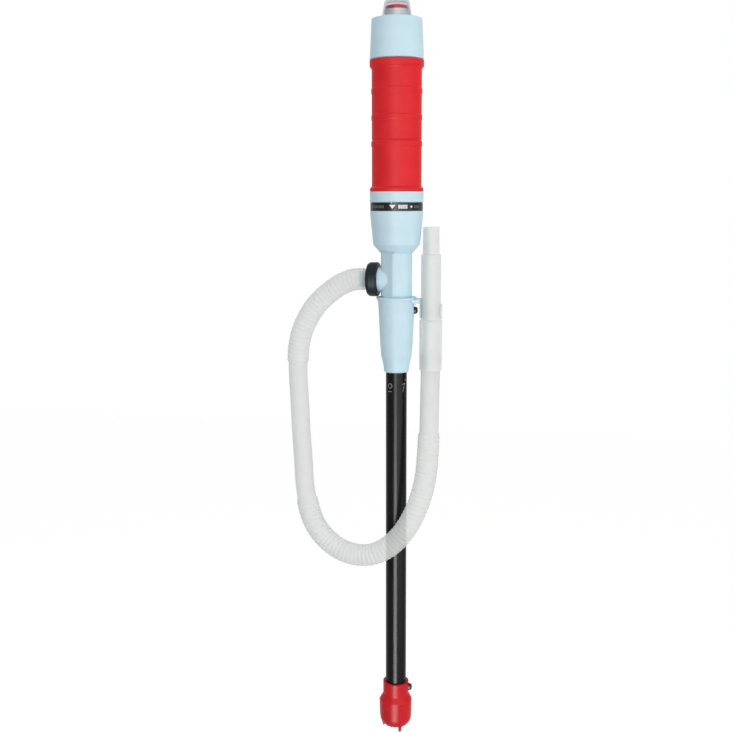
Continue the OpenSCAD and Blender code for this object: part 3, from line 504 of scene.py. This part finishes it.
TUBE_INK = plastic("tube_ink", (0.33, 0.34, 0.34), 0.5, spread=0.1, grain=0.0)
FAINT_INK = plastic("grey_ink", (0.10, 0.10, 0.11), 0.5, spread=0.1, grain=0.02)


def dress(obj, material):
    if not obj.data.materials:
        obj.data.materials.append(material)
    for s in obj.material_slots:
        s.link = "OBJECT"
        s.material = material


for part in frame["record"]["subparts"]:
    name = part["node"]
    dress(frame["nodes"][name], OWN_FINISH.get(name, FINISH[part["material_slot"]]))
dress(hose, FINISH["clear_hose"])
dress(boot, FINISH["clear_boot"])
dress(spring, FINISH["steel"])
for pieces, ink in ((marks, INK), (tube_marks, TUBE_INK), (faint_marks, FAINT_INK)):
    for piece in pieces:
        dress(piece, ink)


# ---------- light, floor and backdrop ----------

STRIP_Y = -1.35
WORLD_LIGHT, WORLD_SEEN = 0.535, 1.0
FLOOR_GLOW = 0.48
FLOOR_Z, FLOOR_HALF = -1.4, 6.0


def softbox(name, place, target, width, height, watts, colour=(1, 1, 1), in_gloss_only=False):
    data = bpy.data.lights.new(name, "AREA")
    data.shape, data.size, data.size_y, data.energy = "RECTANGLE", width, height, watts
    data.color = colour
    lamp = placed(name, data)
    lamp.location = place
    lamp.rotation_euler = (Vector(target) - Vector(place)).to_track_quat("-Z", "Y").to_euler()
    lamp.visible_diffuse = not in_gloss_only


softbox("key", (1.05, -1.2, 0.15), (0, 0, 0), 1.0, 1.7, 12.5, colour=(1.0, 0.965, 0.925))
softbox("top", (-0.25, -0.2, 1.5), (0, 0, 0.1), 1.0, 1.0, 4.5)
# the highlights down the front and the right side
for name, x, height, width, length, watts in (
        ("strip_low", 0.08, -0.92, 0.74, 0.96, 84),
        ("strip_high", 0.09, 0.07, 0.68, 0.98, 29),
        ("side_sheen", 2.1, -0.1, 3.1, 2.5, 70)):
    softbox(name, (x, STRIP_Y, height), (0, 0, height / 2), width, length, watts, in_gloss_only=True)


def looked_at(tree):
    """1 for rays that look at a thing, straight, in a gloss or through a clear wall, else 0."""
    path = node(tree, "LightPath")
    looks = path.outputs["Is Camera Ray"]
    for kind in ("Is Glossy Ray", "Is Transmission Ray"):
        either = node(tree, "Math")
        either.operation = "MAXIMUM"
        tree.links.new(looks, either.inputs[0])
        tree.links.new(path.outputs[kind], either.inputs[1])
        looks = either.outputs[0]
    return looks


def backdrop():
    """A white world to look at, which lights the object less than it shows."""
    world = bpy.data.worlds.new("studio")
    world.use_nodes = True
    bpy.context.scene.world = world
    tree = world.node_tree
    tree.nodes.clear()
    lit = node(tree, "Background", Color=(1, 1, 1, 1), Strength=WORLD_LIGHT)
    seen = node(tree, "Background", Color=(1, 1, 1, 1), Strength=WORLD_SEEN)
    mix, out = node(tree, "MixShader"), node(tree, "OutputWorld")
    tree.links.new(looked_at(tree), mix.inputs[0])
    tree.links.new(lit.outputs[0], mix.inputs[1])
    tree.links.new(seen.outputs[0], mix.inputs[2])
    tree.links.new(mix.outputs[0], out.inputs[0])


def floor_paint():
    """A pale floor that keeps the object's shadow and is lifted to the backdrop's white where seen."""
    paint = bpy.data.materials.new("floor_paint")
    paint.use_nodes = True
    tree = paint.node_tree
    matt = tree.nodes["Principled BSDF"]
    matt.inputs["Base Color"].default_value = (0.9, 0.9, 0.9, 1)
    matt.inputs["Roughness"].default_value = 0.9
    lift = node(tree, "Math")
    lift.operation = "MULTIPLY"
    lift.inputs[1].default_value = FLOOR_GLOW
    glow, both = node(tree, "Emission", Color=(1, 1, 1, 1)), node(tree, "AddShader")
    tree.links.new(looked_at(tree), lift.inputs[0])
    tree.links.new(lift.outputs[0], glow.inputs["Strength"])
    tree.links.new(matt.outputs[0], both.inputs[0])
    tree.links.new(glow.outputs[0], both.inputs[1])
    tree.links.new(both.outputs[0], tree.nodes["Material Output"].inputs[0])
    return paint


backdrop()
floor = new_object("floor", [
    (-FLOOR_HALF, -FLOOR_HALF, FLOOR_Z), (FLOOR_HALF, -FLOOR_HALF, FLOOR_Z),
    (FLOOR_HALF, FLOOR_HALF, FLOOR_Z), (-FLOOR_HALF, FLOOR_HALF, FLOOR_Z),
], [(0, 1, 2, 3)])
dress(floor, floor_paint())

bpy.context.scene.view_settings.view_transform = "Standard"
